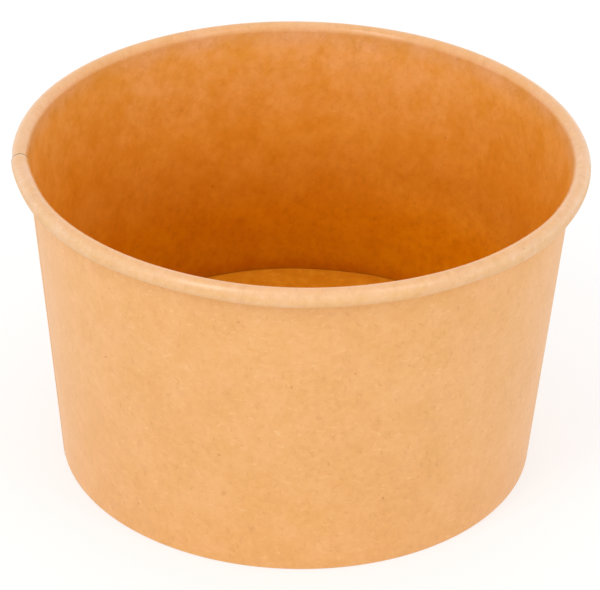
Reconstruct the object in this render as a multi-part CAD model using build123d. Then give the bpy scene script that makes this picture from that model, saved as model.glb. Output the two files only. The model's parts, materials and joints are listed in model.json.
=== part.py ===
"""Paper ice cream tub: a lapped, tapered side wall rolled over at the rim and folded up round a base disc."""
from build123d import *
from build123d.topology import SkipClean
import os
from math import acos, atan2, cos, degrees, radians, sin, tan
from typing import NamedTuple

# Driving sizes, in millimetres
rim_diameter = 115.0  # over the outside of the rolled rim
tub_height = 68.6  # from the table to the top of the rim
foot_diameter = 97.0  # over the outside of the wall at the table
wall_board = 0.40  # thickness of the side wall's board
roll_diameter = 3.5  # of the rolled rim, over its outside
tuck_gap = 0.08  # left between the rolled edge and the wall it is tucked against
hem_gap = 2.2  # from the hem's edge, turned up inside the foot, to the underside of the base disc

base_board = 0.40  # thickness of the base disc's board
base_height = 11.7  # from the table to the top of the base disc
base_corner = 0.45  # inside radius where the disc turns down into its skirt
skirt_gap = 0.10  # from the lower edge of the skirt to the foot under it, where the board is double
seal_film = 0.03  # coating between the skirt and the board on each side of it

lap_width = 5.8  # overlap of the wall's two ends, along the rim
lap_ease = 6.5  # length along the rim in which the covered end sinks under the other
lap_azimuth = 186.0  # degrees from the +X axis, anticlockwise from above, to the covering end's edge
ease_steps = 3  # stages in which the covered end sinks

# Places worked out from the driving sizes
full_turn = 360.0
quarter_turn = full_turn / 4
rim_radius = rim_diameter / 2
foot_radius = foot_diameter / 2
roll_radius = roll_diameter / 2
roll_centre = Vector(rim_radius - roll_radius, tub_height - roll_radius)

# The wall's outer face runs from the foot to a tangent of the roll's hollow core
core_radius = roll_radius - wall_board
foot_to_roll = roll_centre - Vector(foot_radius, 0)
taper = acos(core_radius / foot_to_roll.length) - atan2(foot_to_roll.Y, foot_to_roll.X)
up_wall = Vector(sin(taper), cos(taper))
out_of_wall = Vector(cos(taper), -sin(taper))
pocket = base_board + 2 * seal_film
hem_height = base_height - base_board - hem_gap
skirt_height = 2 * wall_board + skirt_gap


class Run(NamedTuple):
    """A straight stretch of board."""
    length: float


class Bend(NamedTuple):
    """A bend at a radius of the board's middle; the turn is in degrees, to the left when positive."""
    radius: float
    turn: float


def board_face(start, heading, stretches, to_left):
    """One face of a board, as edges to_left of its middle. The inside of a tight fold is a plain corner."""
    at = start + heading.rotate(Axis.Z, quarter_turn) * to_left
    edges = []
    for stretch in stretches:
        if isinstance(stretch, Run):
            edges.append(Line(at, at + heading * stretch.length))
        else:
            face_radius = stretch.radius - to_left if stretch.turn > 0 else stretch.radius + to_left
            if face_radius > 0:
                edges.append(JernArc(at, heading, face_radius, stretch.turn))
            heading = heading.rotate(Axis.Z, stretch.turn)
        at = edges[-1] @ 1
    return edges


def board_section(start, heading, stretches, thickness):
    """A board seen on its cut edge, with radius along X and height along Z."""
    left = board_face(start, heading, stretches, thickness / 2)
    right = board_face(start, heading, stretches, -thickness / 2)
    first_end = Line(left[0] @ 0, right[0] @ 0)
    last_end = Line(left[-1] @ 1, right[-1] @ 1)
    return Plane.XZ * make_face([*left, *right, first_end, last_end])


def wall_section(thickness, sunk):
    """The side wall's section: hem, foot, wall and roll, sunk under another layer of board."""
    lean = degrees(taper)
    fold_bend = thickness / 2
    roll_bend = roll_radius - sunk - thickness / 2
    outset = (sunk + thickness - wall_board) / cos(taper)
    land = (pocket + 2 * sunk) / cos(taper)

    # Inner corners of the foot's two folds, under the wall and under the hem
    corner_run = thickness * tan(radians(quarter_turn - lean) / 2)
    wall_fold = Vector(foot_radius + outset - corner_run, thickness)
    hem_fold = wall_fold - Vector(land, 0)
    hem_foot = hem_fold - out_of_wall * fold_bend
    hem_length = (hem_height - hem_foot.Y) / cos(taper)
    wall_foot = wall_fold + out_of_wall * fold_bend
    wall_head = roll_centre - out_of_wall * roll_bend

    # The roll turns until its edge comes within the tuck gap of the wall
    closing = acos((roll_bend - thickness / 2 - tuck_gap) / (roll_bend + thickness / 2))
    stretches = [
        Run(hem_length),
        Bend(fold_bend, quarter_turn + lean),
        Run(land),
        Bend(fold_bend, quarter_turn - lean),
        Run((wall_head - wall_foot).length),
        Bend(roll_bend, degrees(closing) - full_turn),
    ]
    return board_section(hem_foot + up_wall * hem_length, -up_wall, stretches, thickness)


def base_section():
    """The base disc's section from the axis out, with its skirt turned down along the wall."""
    corner_bend = base_corner + base_board / 2
    corner_turn = quarter_turn + degrees(taper)
    disc_middle = base_height - base_board / 2
    skirt_inset = wall_board + seal_film + base_board / 2
    skirt_at_disc = foot_radius + disc_middle * tan(taper) - skirt_inset / cos(taper)
    corner_run = corner_bend * tan(radians(corner_turn) / 2)
    skirt_slant = (disc_middle - skirt_height) / cos(taper)
    stretches = [
        Run(skirt_at_disc - corner_run),
        Bend(corner_bend, -corner_turn),
        Run(skirt_slant - corner_run),
    ]
    return board_section(Vector(0, disc_middle), Vector(1, 0), stretches, base_board)


# Side wall: a single board all round, except where its ends lap
lap_angle = degrees(lap_width / rim_radius)
ease_angle = degrees(lap_ease / rim_radius)
single = Rotation(0, 0, lap_azimuth + lap_angle) * wall_section(wall_board, 0)
double = Rotation(0, 0, lap_azimuth) * wall_section(2 * wall_board, 0)
sinking = []
for step in range(ease_steps + 1):
    share = step / ease_steps
    eased_share = share * share * (3 - 2 * share)
    section = wall_section(wall_board, wall_board * eased_share)
    sinking.append(Rotation(0, 0, lap_azimuth - ease_angle * (1 - share)) * section)
single_wall = revolve(single, axis=Axis.Z, revolution_arc=full_turn - lap_angle - ease_angle)
lapped_wall = revolve(double, axis=Axis.Z, revolution_arc=lap_angle)
sinking_wall = loft(sinking, ruled=True)
with SkipClean():
    side_wall = single_wall + [lapped_wall, sinking_wall]

base_disc = revolve(base_section(), axis=Axis.Z)

os.makedirs("parts", exist_ok=True)
export_step(side_wall, "parts/side_wall.step")
export_step(base_disc, "parts/base_disc.step")
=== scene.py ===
import cmath
import json
import math
import bpy
from mathutils import Matrix, Vector, noise


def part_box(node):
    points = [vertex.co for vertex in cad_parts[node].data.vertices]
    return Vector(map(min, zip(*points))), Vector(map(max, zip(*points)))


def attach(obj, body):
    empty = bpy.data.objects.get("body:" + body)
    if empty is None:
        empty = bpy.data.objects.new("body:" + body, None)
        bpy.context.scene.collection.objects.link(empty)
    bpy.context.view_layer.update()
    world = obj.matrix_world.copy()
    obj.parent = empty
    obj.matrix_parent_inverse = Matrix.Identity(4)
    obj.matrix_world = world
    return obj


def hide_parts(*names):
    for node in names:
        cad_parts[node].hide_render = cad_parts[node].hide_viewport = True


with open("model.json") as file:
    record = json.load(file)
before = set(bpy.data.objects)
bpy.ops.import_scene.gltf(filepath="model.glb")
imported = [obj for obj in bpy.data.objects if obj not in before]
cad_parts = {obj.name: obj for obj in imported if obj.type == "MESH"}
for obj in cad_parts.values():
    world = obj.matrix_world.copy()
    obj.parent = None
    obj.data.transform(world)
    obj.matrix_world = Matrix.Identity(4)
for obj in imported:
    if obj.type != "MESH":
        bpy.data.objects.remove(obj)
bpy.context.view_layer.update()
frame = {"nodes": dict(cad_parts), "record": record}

mm = 0.001  # the scene is in metres, and the sizes below are in millimetres
print("frame loaded:", sorted(frame["nodes"]))


# camera

cameraSet = {
    "distance": 667.5,  # from the lens to the aim
    "elevation": 30.77,  # degrees above the table
    "aim": (0.31, 0.0, 34.0),
    "roll": 1.234,  # degrees, the tub leans a little to the right in the picture
    "focalPixels": 3271.9,
    "imageWidth": 600,
    "nearClip": 10.0,
}


def placeCamera(s):
    camera = bpy.data.cameras.new("photoCamera")
    camera.sensor_fit = "HORIZONTAL"
    camera.lens = s["focalPixels"] * camera.sensor_width / s["imageWidth"]
    camera.clip_start = s["nearClip"] * mm
    holder = bpy.data.objects.new("photoCamera", camera)
    bpy.context.scene.collection.objects.link(holder)
    rise = math.radians(s["elevation"])
    back = Vector((0, -math.cos(rise), math.sin(rise)))
    lean = math.radians(s["roll"])
    side = Vector((0, 0, 1)).cross(back).normalized()
    top = back.cross(side)
    right = side * math.cos(lean) + top * math.sin(lean)
    up = top * math.cos(lean) - side * math.sin(lean)
    eye = (Vector(s["aim"]) + back * s["distance"]) * mm
    turn = Matrix((right, up, back)).transposed().to_4x4()
    holder.matrix_world = Matrix.Translation(eye) @ turn
    bpy.context.scene.camera = holder


placeCamera(cameraSet)
print("camera placed")


# shader sums

class Sock:
    # one value in a node tree: sums and products of it add Math nodes
    def __init__(self, tree, socket=None):
        self.tree = tree
        self.socket = socket

    def add(self, kind, settings=None, sockets=None, out=0):
        node = self.tree.nodes.new(kind)
        for name, value in (settings or {}).items():
            if name == "stops":
                while len(node.color_ramp.elements) < len(value):
                    node.color_ramp.elements.new(0.5)
                for element, (position, colour) in zip(node.color_ramp.elements, value):
                    element.position = position
                    element.color = (*colour, 1)
            else:
                setattr(node, name, value)
        for name, value in (sockets or {}).items():
            if isinstance(value, Sock):
                self.tree.links.new(value.socket, node.inputs[name])
            else:
                node.inputs[name].default_value = value
        return Sock(self.tree, node.outputs[out] if len(node.outputs) else None)

    def math(self, operation, first, second):
        return self.add("ShaderNodeMath", {"operation": operation}, {0: first, 1: second})

    def __add__(self, other):
        return self.math("ADD", self, other)

    def __radd__(self, other):
        return self.math("ADD", other, self)

    def __sub__(self, other):
        return self.math("SUBTRACT", self, other)

    def __rsub__(self, other):
        return self.math("SUBTRACT", other, self)

    def __mul__(self, other):
        return self.math("MULTIPLY", self, other)

    def __rmul__(self, other):
        return self.math("MULTIPLY", other, self)

    def fade(self, low, high):
        # 0 below low, 1 above high, smooth between
        return self.add("ShaderNodeMapRange", {"interpolation_type": "SMOOTHSTEP"},
                        {"Value": self, "From Min": low, "From Max": high})

    def noise(self, place, scale, detail=2.0, roughness=0.5, out="Fac"):
        return self.add("ShaderNodeTexNoise", {}, {"Vector": place, "Scale": scale, "Detail": detail,
                                                   "Roughness": roughness}, out)

    def ramp(self, *stops):
        return self.add("ShaderNodeValToRGB", {"stops": stops}, {"Fac": self})

    def blend(self, kind, factor, first, second):
        # colours, so through Mix
        return self.add("ShaderNodeMix", {"data_type": "RGBA", "blend_type": kind},
                        {0: factor, 6: first, 7: second}, out=2)


def newTree(name):
    material = bpy.data.materials.new(name)
    material.use_nodes = True
    material.node_tree.nodes.clear()
    return material, Sock(material.node_tree)


# kraft board

outsideKraft = {
    "dark": (0.47, 0.205, 0.058),
    "plain": (0.738, 0.367, 0.121),
    "pale": (0.86, 0.560, 0.280),
    "golden": (0.974, 0.956, 0.855),
    "rosy": (1.026, 1.044, 1.145),
    "riseLightAndShade": (  # mm up the wall, tint: painted shade deeper at the foot, painted light just under the roll
        (2, (1.0, 0.962, 0.88)),
        (34, (1.0, 1.0, 1.0)),
        (50, (1.0, 1.0, 1.0)),
        (62, (1.02, 1.025, 1.03)),
    ),
    "fibre": 1.0,
    "speck": 0.42,
    "mottle": 0.27,
    "deepMottle": 0.0,
    "roughness": 0.62,
    "specular": 0.35,
    "rollCoat": 0.0,
    "bump": 0.13,
    "sheen": 0.22,
    "seed": 3.0,
}
insideKraft = {
    "dark": (0.56, 0.240, 0.070),
    "plain": (0.83, 0.425, 0.185),
    "pale": (0.93, 0.590, 0.340),
    "golden": (0.950, 0.885, 0.52),
    "rosy": (1.050, 1.115, 1.48),
    "riseLightAndShade": (  # painted shade, deep by the base and darkest in the crease above it; the last three over the roll, its own colour and painted light paler on its lower half
        (12.4, (0.65, 0.362, 0.002)),
        (14.6, (0.705, 0.450, 0.003)),
        (25, (0.758, 0.464, 0.006)),
        (45, (0.958, 0.745, 0.17)),
        (63, (1.01, 0.91, 0.51)),
        (69, (0.880, 0.895, 0.840)),
        (69.6, (0.886, 0.905, 0.860)),
        (70.8, (0.903, 1.012, 1.065)),
    ),
    "fibre": 0.85,
    "speck": 0.28,
    "mottle": 0.33,
    "deepMottle": 0.32,  # added low down, where the colour is deepest
    "roughness": 0.48,
    "specular": 0.08,
    "rollCoat": 0.8,
    "bump": 0.10,
    "sheen": 0.0,
    "seed": 41.0,
}
# painted shade: the base is the inside board with deeper, darker colours, as it lies deep in the tub
shadedBaseKraft = {
    **insideKraft,
    "dark": (0.52, 0.180, 0.003),
    "plain": (0.692, 0.253, 0.009),
    "pale": (0.86, 0.430, 0.030),
    "riseLightAndShade": (),
    "fibre": 0.5,
    "rollCoat": 0.0,
    "seed": 59.0,
}
cutEdgeKraft = {
    **outsideKraft,
    "plain": (0.68, 0.340, 0.120),
    "fibre": 1.2,
    "roughness": 0.85,
    "specular": 0.2,
    "bump": 0.3,
    "sheen": 0.0,
    "seed": 77.0,
}
pulpSet = {
    "cloud": (0.06, 0.12),  # per mm, and how much it changes the tone
    "grain": (2.0, 0.065),
    "mottle": (0.62, 3.0, 0.55),  # per mm, octaves, roughness
    "blotch": (0.16, 4.0, 0.65, 0.5),  # the same, and width of the drift in colour
    "fibreTurns": (12, 68, -37, 115, 152, 88),  # degrees on the blank, dark and pale in turn
    "fibreSize": ((2.5, 0.62), (1.75, 0.62), (2.0, 0.58), (2.1, 0.55), (1.5, 0.75), (1.9, 0.52)),
    "fibreShift": (7.0, 3.0),  # mm from one lay of fibres to the next
    "fibreBend": 1.6,
    "fibreBendScale": 0.5,
    "fibreShow": (0.62, 0.82),
    "fibreDark": 0.125,
    "fibrePale": 0.13,
    "fibreHeight": 0.3,  # in the bump, beside the grain
    "speckEvery": 16.0,
    "speckRadius": 0.24,
    "speckSizes": (0.4, 1.0),  # chances of the smallest and the largest
    "speckFrom": (0.5, 0.55),  # a cell with less chance has none
    "speckEdge": (0.012, -0.008),
    # painted highlight on the covering edge's lip with its pale fibres, and painted shadow with glue along
    # the seam and in the base's crease
    "lipHighlightAndFibre": 0.30,
    "seamShadowAndGlue": (0.25, 0.130, 0.062),
    "toneTop": 73.0,  # rise at the end of the painted light and shade by rise, under the roll
    "deepEnd": (22.0, 45.0),  # rises between which the deeper mottle ends
    "rollFrom": (65.5, 68.5),  # and the roll begins
    "rollDrift": 0.3,  # share of the blotches that shows on the roll
    "paintedLightTints": ((0.970, 1.05, 1.24), (0.97, 0.905, 0.62), (1.17, 1.30, 1.20)),  # painted sheen on the roll, painted shade on the wall, painted light low down
    "coatEnd": (70.4, 71.3),  # rises between which the gloss ends, past the outermost line of the roll
    "coatIor": 1.7,
    "coatRoughness": 0.25,
    "sheenRoughness": 0.5,
    "roughMottle": 0.25,
    "bumpDepth": 0.05,
}


def fibreStrokes(tree, flat, p):
    # short fibres that lie in the sheet, bent a little and turned several ways
    drift = tree.noise(flat, p["fibreBendScale"], 1.0, out="Color")
    bent = tree.add("ShaderNodeVectorMath", {"operation": "MULTIPLY_ADD"},
                    {0: drift, 1: (p["fibreBend"],) * 3, 2: flat})
    strokes = []
    along, across = p["fibreShift"]
    for count, (degrees, size) in enumerate(zip(p["fibreTurns"], p["fibreSize"])):
        laid = tree.add("ShaderNodeMapping", {"vector_type": "TEXTURE"},
                        {"Vector": bent, "Location": (along * count, across * count, 0),
                         "Rotation": (0, 0, math.radians(degrees)), "Scale": (*size, 1)})
        strokes.append(tree.noise(laid, 1.0, 1.0).fade(*p["fibreShow"]))
    dark = strokes[0] + strokes[2] + strokes[4]
    pale = strokes[1] + strokes[3] + strokes[5]
    return dark, pale, bent


def barkSpecks(tree, place, p):
    cell = {"Vector": place, "Scale": 1 / p["speckEvery"]}
    flatCell = {"voronoi_dimensions": "2D"}
    away = tree.add("ShaderNodeTexVoronoi", flatCell, cell, out="Distance")
    tint = tree.add("ShaderNodeTexVoronoi", flatCell, cell, out="Color")
    chance = tree.add("ShaderNodeSeparateColor", {}, {"Color": tint}, out="Red")
    radius = p["speckRadius"] / p["speckEvery"] * chance.fade(*p["speckSizes"])
    return (away - radius).fade(*p["speckEdge"]) * chance.fade(*p["speckFrom"])


def kraftFinish(name, look):
    p = pulpSet
    material, tree = newTree(name)
    place = tree.add("ShaderNodeAttribute", {"attribute_name": "blankPlace"}, out="Vector")
    rise = tree.add("ShaderNodeAttribute", {"attribute_name": "boardRise"}, out="Fac")
    seam = tree.add("ShaderNodeAttribute", {"attribute_name": "seamShade"}, out="Fac")
    flat = tree.add("ShaderNodeVectorMath", {"operation": "ADD"}, {0: place, 1: (0, 0, look["seed"])})

    cloud = tree.noise(flat, p["cloud"][0]) - 0.5
    mottle = tree.noise(flat, *p["mottle"]) - 0.5
    grain = tree.noise(flat, p["grain"][0]) - 0.5
    dark, pale, bent = fibreStrokes(tree, flat, p)
    speck = barkSpecks(tree, bent, p)
    deep = look["mottle"] + (1 - rise.fade(*p["deepEnd"])) * look["deepMottle"]
    tone = 0.5 + cloud * p["cloud"][1] + mottle * deep + grain * p["grain"][1]
    tone = tone + (pale * p["fibrePale"] - dark * p["fibreDark"]) * look["fibre"] - speck * look["speck"]
    # painted highlight on the covering edge's lip, with its pale cut fibres
    tone = tone + seam.fade(0.0, -1.0) * p["lipHighlightAndFibre"]
    colour = tone.ramp((0.0, look["dark"]), (0.5, look["plain"]), (1.0, look["pale"]))

    # the sheet drifts between a deep golden and a paler, rosier brown, less so on the stretched roll
    onRoll = rise.fade(*p["rollFrom"])
    scale, octaves, roughness, width = p["blotch"]
    blotch = tree.noise(flat, scale, octaves, roughness).fade(0.5 - width / 2, 0.5 + width / 2)
    drift = blotch.ramp((0.0, look["golden"]), (1.0, look["rosy"]))
    colour = tree.blend("MULTIPLY", 1 - onRoll * (1 - p["rollDrift"]), colour, drift)

    # painted shade deeper towards the base inside and painted light and shade by rise, painted sheen, shade
    # and light at its sides, painted shadow with glue dark along the lapped edge
    if look["riseLightAndShade"]:
        up = rise * (1 / p["toneTop"])
        tint = up.ramp(*((height / p["toneTop"], shade) for height, shade in look["riseLightAndShade"]))
        colour = tree.blend("MULTIPLY", 1.0, colour, tint)
        sides = tree.add("ShaderNodeAttribute", {"attribute_name": "sideShares"}, out="Vector")
        for axis, paintedTint in zip("XYZ", p["paintedLightTints"]):
            share = tree.add("ShaderNodeSeparateXYZ", {}, {0: sides}, out=axis)
            colour = tree.blend("MULTIPLY", share, colour, (*paintedTint, 1))
    # painted shadow and glue along the seam and in the base's crease
    colour = tree.blend("MIX", seam.fade(0.0, 1.0), colour, (*p["seamShadowAndGlue"], 1))

    coat = 0.0
    if look["rollCoat"]:
        coat = onRoll * (1 - rise.fade(*p["coatEnd"])) * look["rollCoat"]
    rough = look["roughness"] + mottle * p["roughMottle"]
    height = grain + mottle + (pale + dark) * p["fibreHeight"]
    raised = {"Height": height, "Strength": look["bump"], "Distance": p["bumpDepth"] * mm}
    normal = tree.add("ShaderNodeBump", {}, raised, out="Normal")
    shader = tree.add("ShaderNodeBsdfPrincipled", {}, {
        "Base Color": colour, "Roughness": rough, "Normal": normal, "Specular IOR Level": look["specular"],
        "Coat Weight": coat, "Coat Roughness": p["coatRoughness"], "Coat IOR": p["coatIor"],
        "Sheen Weight": look["sheen"], "Sheen Roughness": p["sheenRoughness"]})
    tree.add("ShaderNodeOutputMaterial", {}, {"Surface": shader})
    return material


outsideBoard = kraftFinish("kraftOutside", outsideKraft)
insideBoard = kraftFinish("kraftCoatedInside", insideKraft)
shadedBaseBoard = kraftFinish("kraftCoatedBasePaintedShade", shadedBaseKraft)
edgeBoard = kraftFinish("kraftCutEdge", cutEdgeKraft)
print("kraft finishes made")


# side wall: one sheet, from the covering end round to the covered end

rim = next(m for m in frame["record"]["mounts"] if m["name"] == "rim")
wallSet = {
    "rimRadius": rim["dims"]["r_mm"] - 0.02,  # so that an uneven rim stays inside the frame's box
    "rollRadius": rim["dims"]["length_mm"] / 2,
    "height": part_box("side_wall")[1].z / mm,
    "footRadius": 48.5,  # outside of the wall at the table
    "board": 0.40,
    "pocket": 0.46,  # inside the foot, for the skirt and its two films
    "foldInside": 0.05,
    "hemTop": 9.1,
    "tuckGap": 0.08,  # from the roll's edge to the wall
    "lapAzimuth": 186.0,
    "lapWidth": 5.8,
    "lapEase": 6.5,  # length in which the covered end sinks
    "lapDive": 0.35,  # length of its last steep stretch, just behind the covering edge
    "diveShare": 0.45,
    "footEase": 4.0,  # length in which the covering end's foot comes down again
    "layerGap": 0.012,
    "thinLength": 4.2,  # the covered end's edge is pressed thin on the outside
    "thinShare": 0.06,
    "flushTop": (61.5, 65.5),  # heights between which the pressed wall turns into the lapped roll
    "seamBand": 0.20,  # dark line behind the covering edge: glue and painted shadow of the step
    "bandSoft": 0.1,  # share of it to either side of its start
    "bandEnd": (1.0, 0.3),  # degrees past the edge, under the covering end
    "edgeLine": 0.50,  # dark line along the edge itself: the dark cut edge and painted shadow
    "lineCore": 0.6,  # share of it that is darkest
    "lipBand": 0.95,  # pale lip beside that: a painted highlight on the edge, with its pale cut fibres
    "lipCore": 0.7,
    "wallSeam": 0.28,  # share of that shade below the roll
    "columnStep": 1.0,  # degrees
    "lapStep": 0.25,  # near the lap
    "lapReach": 2.5,  # laps past the covering edge
    "easeReach": 1.0,  # degrees before the covered end sinks
    "edgeStep": 0.06,  # near the two edges
    "edgeReach": 0.5,  # degrees
    "diveReach": (1.2, 0.2),  # before and after a whole turn
    "hemSteps": 3,
    "foldSteps": 5,
    "landSteps": 1,
    "wallSteps": 26,
    "rollSteps": 36,
    "outOfRound": ((186.0, 4.5, 0.13), (198.0, 8.0, -0.22), (158.0, 13.0, 0.10)),  # azimuth, spread, mm
    "rimDips": ((262.0, 16.0, 0.12), (332.0, 8.0, 0.18)),
    "rollDrop": 0.08,  # the roll hangs a little lower outside, and unevenly
    "rollSags": ((267.0, 13.0, 0.30), (321.0, 10.0, 0.45), (291.0, 10.0, 0.18), (227.0, 9.0, 0.16),
                 (120.0, 25.0, 0.22), (30.0, 20.0, 0.25)),
    "dropFrom": (0.25, 0.6),  # shares of the roll between which it starts to hang
    "freeFrom": (14.0, 60.0),  # heights between which the wall comes free of the base
    "wobble": 0.05,
    "wobbleScale": (2.6, 22.0),  # round the tub, and mm up it
    "rimWave": 0.05,
    "waveScale": 1.7,
    "waveSpot": (5, 2, 9),
    # painted light and shade inside: azimuth, spread, share
    "rollPaintedSheen": ((190.0, 28.0, 0.85), (352.0, 26.0, 0.85), (240.0, 16.0, 0.25), (298.0, 18.0, 0.30)),
    "outerRollPaintedLight": ((208.0, 34.0, 1.0), (332.0, 34.0, 1.0)),
    "wallPaintedShade": ((170.0, 30.0, 2.0), (8.0, 30.0, 2.0)),
    "lowPaintedLight": ((48.0, 26.0, 1.0), (146.0, 18.0, 0.45)),
    "rollBlend": 0.06,  # share of the roll
    "outerFrom": (69.2, 70.6),  # rises between which these tints start or end
    "deepFrom": (33.0, 45.0),
    "lowEnd": (27.0, 39.0),
}


def easeStep(low, high, value):
    share = min(max((value - low) / (high - low), 0), 1)
    return share * share * (3 - 2 * share)


def wallTaper(s):
    across = s["rimRadius"] - s["rollRadius"] - s["footRadius"]
    up = s["height"] - s["rollRadius"]
    core = s["rollRadius"] - s["board"]
    return math.acos(core / math.hypot(across, up)) - math.atan2(up, across)


def walkBoard(place, heading, stretches):
    # middle of the board as radius + height * 1j, with its heading and the length so far
    path = [(place, heading, 0.0)]
    along = 0.0
    for radius, amount, steps in stretches:  # a run when the radius is 0, else a bend, left turns positive
        for _ in range(steps):
            if radius:
                spin = cmath.exp(1j * amount / steps)
                centre = place + heading * radius * (1j if amount > 0 else -1j)
                place = centre + (place - centre) * spin
                heading *= spin
                along += radius * abs(amount) / steps
            else:
                place += heading * amount / steps
                along += amount / steps
            path.append((place, heading, along))
    return path


def wallPath(s, sunk, lift, cover):
    taper = wallTaper(s)
    upWall = cmath.exp(1j * (math.pi / 2 - taper))
    outWall = upWall * -1j
    half = s["board"] / 2
    fold = s["foldInside"] + half
    roll = s["rollRadius"] - sunk - half
    land = (s["pocket"] + 2 * sunk - 2 * s["foldInside"]) / math.cos(taper)
    cornerRun = (fold + half) * math.tan((math.pi / 2 - taper) / 2)
    footAt = s["footRadius"] + sunk / math.cos(taper) + lift * math.tan(taper)
    wallFold = footAt - cornerRun + (lift + half + fold) * 1j
    hemFoot = wallFold - land - outWall * fold
    hemRun = (s["hemTop"] - hemFoot.imag) / math.cos(taper)
    wallFoot = wallFold + outWall * fold
    rollCentre = s["rimRadius"] - s["rollRadius"] + (s["height"] - s["rollRadius"]) * 1j
    wallHead = rollCentre - outWall * roll
    closing = math.acos((roll - half - s["tuckGap"] - cover) / (roll + half))
    stretches = (
        (0, hemRun, s["hemSteps"]),
        (fold, math.pi / 2 + taper, s["foldSteps"]),
        (0, land, s["landSteps"]),
        (fold, math.pi / 2 - taper, s["foldSteps"]),
        (0, abs(wallHead - wallFoot), s["wallSteps"]),
        (roll, closing - 2 * math.pi, s["rollSteps"]),
    )
    return walkBoard(hemFoot + upWall * hemRun, -upWall, stretches)


def rimAngle(s, name):
    return math.degrees(s[name] / s["rimRadius"])


def thinned(s, angle):
    # share of the board's thickness that is left towards the covered end's edge
    end = 360 + rimAngle(s, "lapWidth")
    return 1 - (1 - s["thinShare"]) * easeStep(end - rimAngle(s, "thinLength"), end, angle)


def lapRise(s, angle):
    # how far the covered end lies over the other one, on the outside of the wall
    slope = easeStep(360 - rimAngle(s, "lapEase"), 360, angle) * (1 - s["diveShare"])
    dive = easeStep(360 - rimAngle(s, "lapDive"), 360, angle) * s["diveShare"]
    return (s["board"] + s["layerGap"]) * (slope + dive) - (1 - thinned(s, angle)) * s["board"]


def lapPressed(s, azimuth):
    # the lap is pressed flush outside, so both layers move in by what would stand proud
    angle = (azimuth - s["lapAzimuth"]) % 360
    end = rimAngle(s, "lapWidth")
    if angle > 180:
        return lapRise(s, angle)
    if angle < end:
        return lapRise(s, 360 + angle)
    return lapRise(s, 360 + end) * easeStep(end + rimAngle(s, "footEase"), end, angle)


def wallColumns(s):
    # degrees from the covering edge, close together where the ends lap
    lapAngle, easeAngle = rimAngle(s, "lapWidth"), rimAngle(s, "lapEase")
    before, after = s["diveReach"]
    angles, at = [], 0.0
    while at < 360 + lapAngle - s["edgeStep"]:
        angles.append(at)
        if at < s["edgeReach"] or 360 - before < at < 360 + after:
            at += s["edgeStep"]
        elif at < s["lapReach"] * lapAngle or at > 360 - easeAngle - s["easeReach"]:
            at += s["lapStep"]
        else:
            at += s["columnStep"]
    return angles + [360 + lapAngle]


def sumBumps(bumps, azimuth):
    total = 0.0
    for centre, spread, amount in bumps:
        away = (azimuth - centre + 180) % 360 - 180
        total += amount * math.exp(-(away / spread) ** 2)
    return total


def deformTub(s, radius, height, azimuth):
    # a real rim is a little out of round and wavy, and the base keeps the foot true
    free = easeStep(*s["freeFrom"], height)
    radius += free * sumBumps(s["outOfRound"], azimuth)
    radius -= lapPressed(s, azimuth) * (1 - easeStep(*s["flushTop"], height))
    angle = math.radians(azimuth)
    around = Vector((math.cos(angle), math.sin(angle), 0))
    turns, climb = s["wobbleScale"]
    radius += free * s["wobble"] * noise.noise(around * turns + Vector((0, 0, height / climb)))
    wave = noise.noise(around * s["waveScale"] + Vector(s["waveSpot"]))
    height -= free * s["rimWave"] * (0.5 + 0.5 * wave)
    height -= free * sumBumps(s["rimDips"], azimuth)
    return around * radius + Vector((0, 0, height))


sheetSet = {
    "outsideShift": 20.0,  # mm, so that the outside has pulp of its own
    "sharpAngle": 50.0,
}
outsideFace, insideFace, edgeFace = range(3)  # places of the finishes on a sheet


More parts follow.
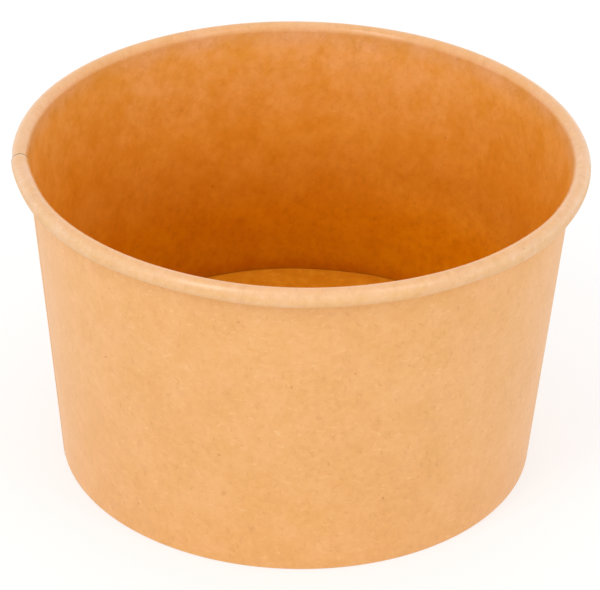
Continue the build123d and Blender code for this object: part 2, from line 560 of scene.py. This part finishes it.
def sheetObject(name, columns, closed, materials):
    # a column is a list of (inside point, outside point, place on the blank, rise, seam shade, shares of
    # painted light and shade)
    # a closed sheet goes all round and its first row is a filled ring, an open one has an edge all round
    points, places, rises, shades, sides, faces, kinds = [], [], [], [], [], [], []
    rows = len(columns[0])
    for column in columns:
        for inside, outside, place, rise, shade, shares in column:
            points.extend((inside * mm, outside * mm))
            places.extend((place.real, place.imag, 0.0, place.real, place.imag, sheetSet["outsideShift"]))
            rises.extend((rise, rise))
            shades.extend((shade, 0.0))
            sides.extend((*shares, 0.0, 0.0, 0.0))

    def corner(column, row, side):
        return ((column % len(columns)) * rows + row) * 2 + side

    def addFace(kind, corners, turned=False):
        faces.append(corners[::-1] if turned else corners)
        kinds.append(kind)

    for c in range(len(columns) if closed else len(columns) - 1):
        for r in range(rows - 1):
            inner = [corner(c, r, 0), corner(c, r + 1, 0), corner(c + 1, r + 1, 0), corner(c + 1, r, 0)]
            outer = [corner(c, r, 1), corner(c + 1, r, 1), corner(c + 1, r + 1, 1), corner(c, r + 1, 1)]
            addFace(insideFace, inner)
            addFace(outsideFace, outer)
        for r in (rows - 1,) if closed else (0, rows - 1):
            edge = [corner(c, r, 0), corner(c + 1, r, 0), corner(c + 1, r, 1), corner(c, r, 1)]
            addFace(edgeFace, edge, turned=r > 0)
    if closed:
        addFace(insideFace, [corner(c, 0, 0) for c in range(len(columns))])
        addFace(outsideFace, [corner(c, 0, 1) for c in range(len(columns))], turned=True)
    else:
        for c in (0, len(columns) - 1):
            for r in range(rows - 1):
                edge = [corner(c, r, 0), corner(c, r + 1, 0), corner(c, r + 1, 1), corner(c, r, 1)]
                addFace(edgeFace, edge, turned=c == 0)
    mesh = bpy.data.meshes.new(name)
    mesh.from_pydata(points, [], faces)
    for material in materials:
        mesh.materials.append(material)
    mesh.polygons.foreach_set("material_index", kinds)
    for label, values in (("blankPlace", places), ("sideShares", sides)):
        mesh.attributes.new(label, "FLOAT_VECTOR", "POINT").data.foreach_set("vector", values)
    for label, values in (("boardRise", rises), ("seamShade", shades)):
        mesh.attributes.new(label, "FLOAT", "POINT").data.foreach_set("value", values)
    mesh.polygons.foreach_set("use_smooth", [True] * len(faces))
    mesh.set_sharp_from_angle(angle=math.radians(sheetSet["sharpAngle"]))
    mesh.update()
    piece = bpy.data.objects.new(name, mesh)
    bpy.context.scene.collection.objects.link(piece)
    return piece


def makeSideWall(s):
    lapAngle, footAngle, bandAngle, lineAngle, lipAngle = (
        rimAngle(s, name) for name in ("lapWidth", "footEase", "seamBand", "edgeLine", "lipBand"))
    taper = wallTaper(s)
    apexSlant = s["footRadius"] / math.sin(taper)
    columns = []
    for angle in wallColumns(s):
        thin = thinned(s, angle)
        sunk = lapRise(s, angle) + (1 - thin) * s["board"] / 2
        under = s["board"] * thinned(s, 360 + angle) + s["layerGap"]
        cover = under * easeStep(lapAngle + footAngle, lapAngle, angle)  # the other end, outside this one
        lift = cover - (1 - thin) * s["board"] / 2
        # painted shadow with glue behind the covering edge, the dark cut edge with painted shadow, and a
        # painted highlight with pale fibres on its lip
        past = angle - 360
        band = easeStep(-bandAngle * (1 + s["bandSoft"]), -bandAngle * (1 - s["bandSoft"]), past)
        band *= easeStep(*s["bandEnd"], past)
        line = easeStep(lineAngle, lineAngle * s["lineCore"], angle)
        lip = easeStep(lipAngle, lipAngle * s["lipCore"], angle) * (1 - line)
        shade = band + line - lip
        azimuth = s["lapAzimuth"] + angle
        drop = s["rollDrop"] + sumBumps(s["rollSags"], azimuth)
        # shares of painted sheen on the roll, painted shade on the wall at its sides and painted light low
        # down
        paintedLightBumps = (s["rollPaintedSheen"], s["outerRollPaintedLight"], s["wallPaintedShade"], s["lowPaintedLight"])
        pale, outer, deep, low = (min(sumBumps(bumps, azimuth), 1) for bumps in paintedLightBumps)
        turn = math.radians(angle) * math.sin(taper)
        path = wallPath(s, sunk, lift, cover)
        footAlong = path[s["hemSteps"] + 2 * s["foldSteps"] + s["landSteps"]][2]
        column = []
        for count, (place, heading, along) in enumerate(path):
            rolled = (count + s["rollSteps"] + 1 - len(path)) / s["rollSteps"]
            place -= drop * 1j * easeStep(*s["dropFrom"], rolled)
            half = heading * 1j * s["board"] / 2 * thin
            ends = [deformTub(s, p.real, p.imag, azimuth) for p in (place + half, place - half)]
            blank = cmath.rect(apexSlant + along, turn)  # the cone unrolled, as the sheet was cut
            onRoll = easeStep(-s["rollBlend"], s["rollBlend"], rolled)
            rowShade = shade * (s["wallSeam"] + (1 - s["wallSeam"]) * onRoll)
            rise = along - footAlong
            paintedSheenShare = onRoll * (pale + (outer - pale) * easeStep(*s["outerFrom"], rise))
            paintedShadeShare = deep * easeStep(*s["deepFrom"], rise) * (1 - onRoll)
            lowLightShare = low * (1 - easeStep(*s["lowEnd"], rise))
            column.append((*ends, blank, rise, rowShade, (paintedSheenShare, paintedShadeShare, lowLightShare)))
        columns.append(column)
    wall = sheetObject("tubWall", columns, False, (outsideBoard, insideBoard, edgeBoard))
    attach(wall, "root")
    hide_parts("side_wall")
    return wall


sideWall = makeSideWall(wallSet)
print("side wall made:", len(sideWall.data.polygons), "faces")


# base disc: a shallow tray, skirt down

baseSet = {
    "height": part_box("base_disc")[1].z / mm,
    "skirtEdge": 0.90,  # above the table
    "board": 0.40,
    "film": 0.03,
    "corner": 0.45,  # inside radius of the drawn corner
    "middle": 0.8,  # radius of the innermost ring
    "columns": 240,
    "discSteps": 36,
    "cornerSteps": 10,
    "skirtSteps": 8,
    "sag": 0.10,  # of its middle
    "sagEnd": 2.0,  # in from the skirt
    "edgeRises": ((93.0, 15.0, 0.26), (66.0, 13.0, 0.52)),  # the drawn edge is a little uneven
    "riseWidth": 14.0,  # in from the skirt
    "creaseBand": 0.9,  # painted shade with glue, darker where the disc meets the wall
    "creaseShade": 0.32,
}


def makeBaseDisc(s, wall):
    taper = wallTaper(wall)
    half = s["board"] / 2
    bend = s["corner"] + half
    turn = math.pi / 2 + taper
    level = s["height"] - half
    inset = wall["board"] + s["film"] + half
    skirtAt = wall["footRadius"] + level * math.tan(taper) - inset / math.cos(taper)
    cornerRun = bend * math.tan(turn / 2)
    slant = (level - s["skirtEdge"]) / math.cos(taper)
    stretches = (
        (0, skirtAt - cornerRun - s["middle"], s["discSteps"]),
        (bend, -turn, s["cornerSteps"]),
        (0, slant - cornerRun, s["skirtSteps"]),
    )
    path = walkBoard(s["middle"] + level * 1j, 1 + 0j, stretches)
    columns = []
    for count in range(s["columns"]):
        azimuth = 360 * count / s["columns"]
        rise = sumBumps(s["edgeRises"], azimuth)
        column = []
        for place, heading, along in path:
            place -= s["sag"] * 1j * easeStep(skirtAt - s["sagEnd"], 0, place.real)
            lifted = rise * easeStep(skirtAt - s["riseWidth"], skirtAt - bend, place.real)
            place += lifted * (math.tan(taper) + 1j)  # along the wall, so that it stays as close
            side = heading * 1j * half
            ends = [deformTub(wall, p.real, p.imag, azimuth) for p in (place + side, place - side)]
            blank = cmath.rect(s["middle"] + along, math.radians(azimuth))
            # painted shade with glue in the crease
            crease = s["creaseShade"] * easeStep(skirtAt - s["creaseBand"], skirtAt - half, place.real)
            column.append((*ends, blank, 0.0, crease, (0.0, 0.0, 0.0)))
        columns.append(column)
    disc = sheetObject("tubBase", columns, True, (outsideBoard, shadedBaseBoard, edgeBoard))
    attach(disc, "root")
    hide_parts("base_disc")
    return disc


baseDisc = makeBaseDisc(baseSet, wallSet)
print("base disc made:", len(baseDisc.data.polygons), "faces")


# floor and light

stageSet = {
    "floorHalf": 3.0,  # metres, as for the lights
    "floorColour": (0.40, 0.40, 0.40),
    "floorDim": 0.985,  # in its faint clouds
    "floorCloud": (14.0, 3.0),  # per metre, octaves
    "floorStops": (0.2, 0.8),
    "floorRough": (0.8, 0.1),
    "floorSpecular": 0.2,
    "floorGlow": 0.58,  # a lit table, so that the tub leaves only a faint shadow
    "horizon": (1.22, 1.21, 1.20),
    "zenith": (0.84, 0.84, 0.85),
    "zenithFrom": (0.1, 0.95),
    "lights": {  # azimuth, elevation, distance, width, height, power
        "leftBox": (232, 48, 1.4, 0.38, 0.9, 4.0),
        "rightBox": (316, 48, 1.4, 0.30, 0.9, 1.7),
        "topBox": (56, 79, 1.94, 1.4, 1.4, 1.6),
    },
    "lightAim": (0, 0, 0.03),
}


def makeFloor(s):
    h = s["floorHalf"]
    mesh = bpy.data.meshes.new("floor")
    mesh.from_pydata([(-h, -h, 0), (h, -h, 0), (h, h, 0), (-h, h, 0)], [], [(0, 1, 2, 3)])
    material, tree = newTree("paleFloor")
    place = tree.add("ShaderNodeTexCoord", out="Object")
    cloud = tree.noise(place, *s["floorCloud"])
    pale = s["floorColour"]
    dim = tuple(s["floorDim"] * c for c in pale)
    colour = cloud.ramp(*zip(s["floorStops"], (dim, pale)))
    least, more = s["floorRough"]
    shader = tree.add("ShaderNodeBsdfPrincipled", {}, {
        "Base Color": colour, "Roughness": least + cloud * more, "Specular IOR Level": s["floorSpecular"],
        "Emission Color": (1, 1, 1, 1), "Emission Strength": s["floorGlow"]})
    tree.add("ShaderNodeOutputMaterial", {}, {"Surface": shader})
    material.cycles.emission_sampling = "NONE"
    mesh.materials.append(material)
    floor = bpy.data.objects.new("floor", mesh)
    bpy.context.scene.collection.objects.link(floor)


def makeLights(s):
    for name, (azimuth, elevation, distance, width, height, power) in s["lights"].items():
        light = bpy.data.lights.new(name, "AREA")
        light.shape = "RECTANGLE"
        light.size = width
        light.size_y = height
        light.energy = power
        around, rise = math.radians(azimuth), math.radians(elevation)
        level = math.cos(rise)
        towards = Vector((math.cos(around) * level, math.sin(around) * level, math.sin(rise)))
        holder = bpy.data.objects.new(name, light)
        holder.location = Vector(s["lightAim"]) + towards * distance
        holder.rotation_euler = (-towards).to_track_quat("-Z", "Y").to_euler()
        bpy.context.scene.collection.objects.link(holder)


def makeWorld(s):
    # a white tent, brighter at the sides than overhead
    world = bpy.data.worlds.new("studioWorld")
    world.use_nodes = True
    world.node_tree.nodes.clear()
    tree = Sock(world.node_tree)
    towards = tree.add("ShaderNodeTexCoord", out="Generated")
    up = tree.add("ShaderNodeSeparateXYZ", {}, {0: towards}, out="Z")
    glow = tree.blend("MIX", up.fade(*s["zenithFrom"]), (*s["horizon"], 1), (*s["zenith"], 1))
    backdrop = tree.add("ShaderNodeBackground", {}, {"Color": glow})
    tree.add("ShaderNodeOutputWorld", {}, {"Surface": backdrop})
    bpy.context.scene.world = world


makeFloor(stageSet)
makeWorld(stageSet)
makeLights(stageSet)
bpy.context.scene.view_settings.view_transform = "Standard"
print("stage set")
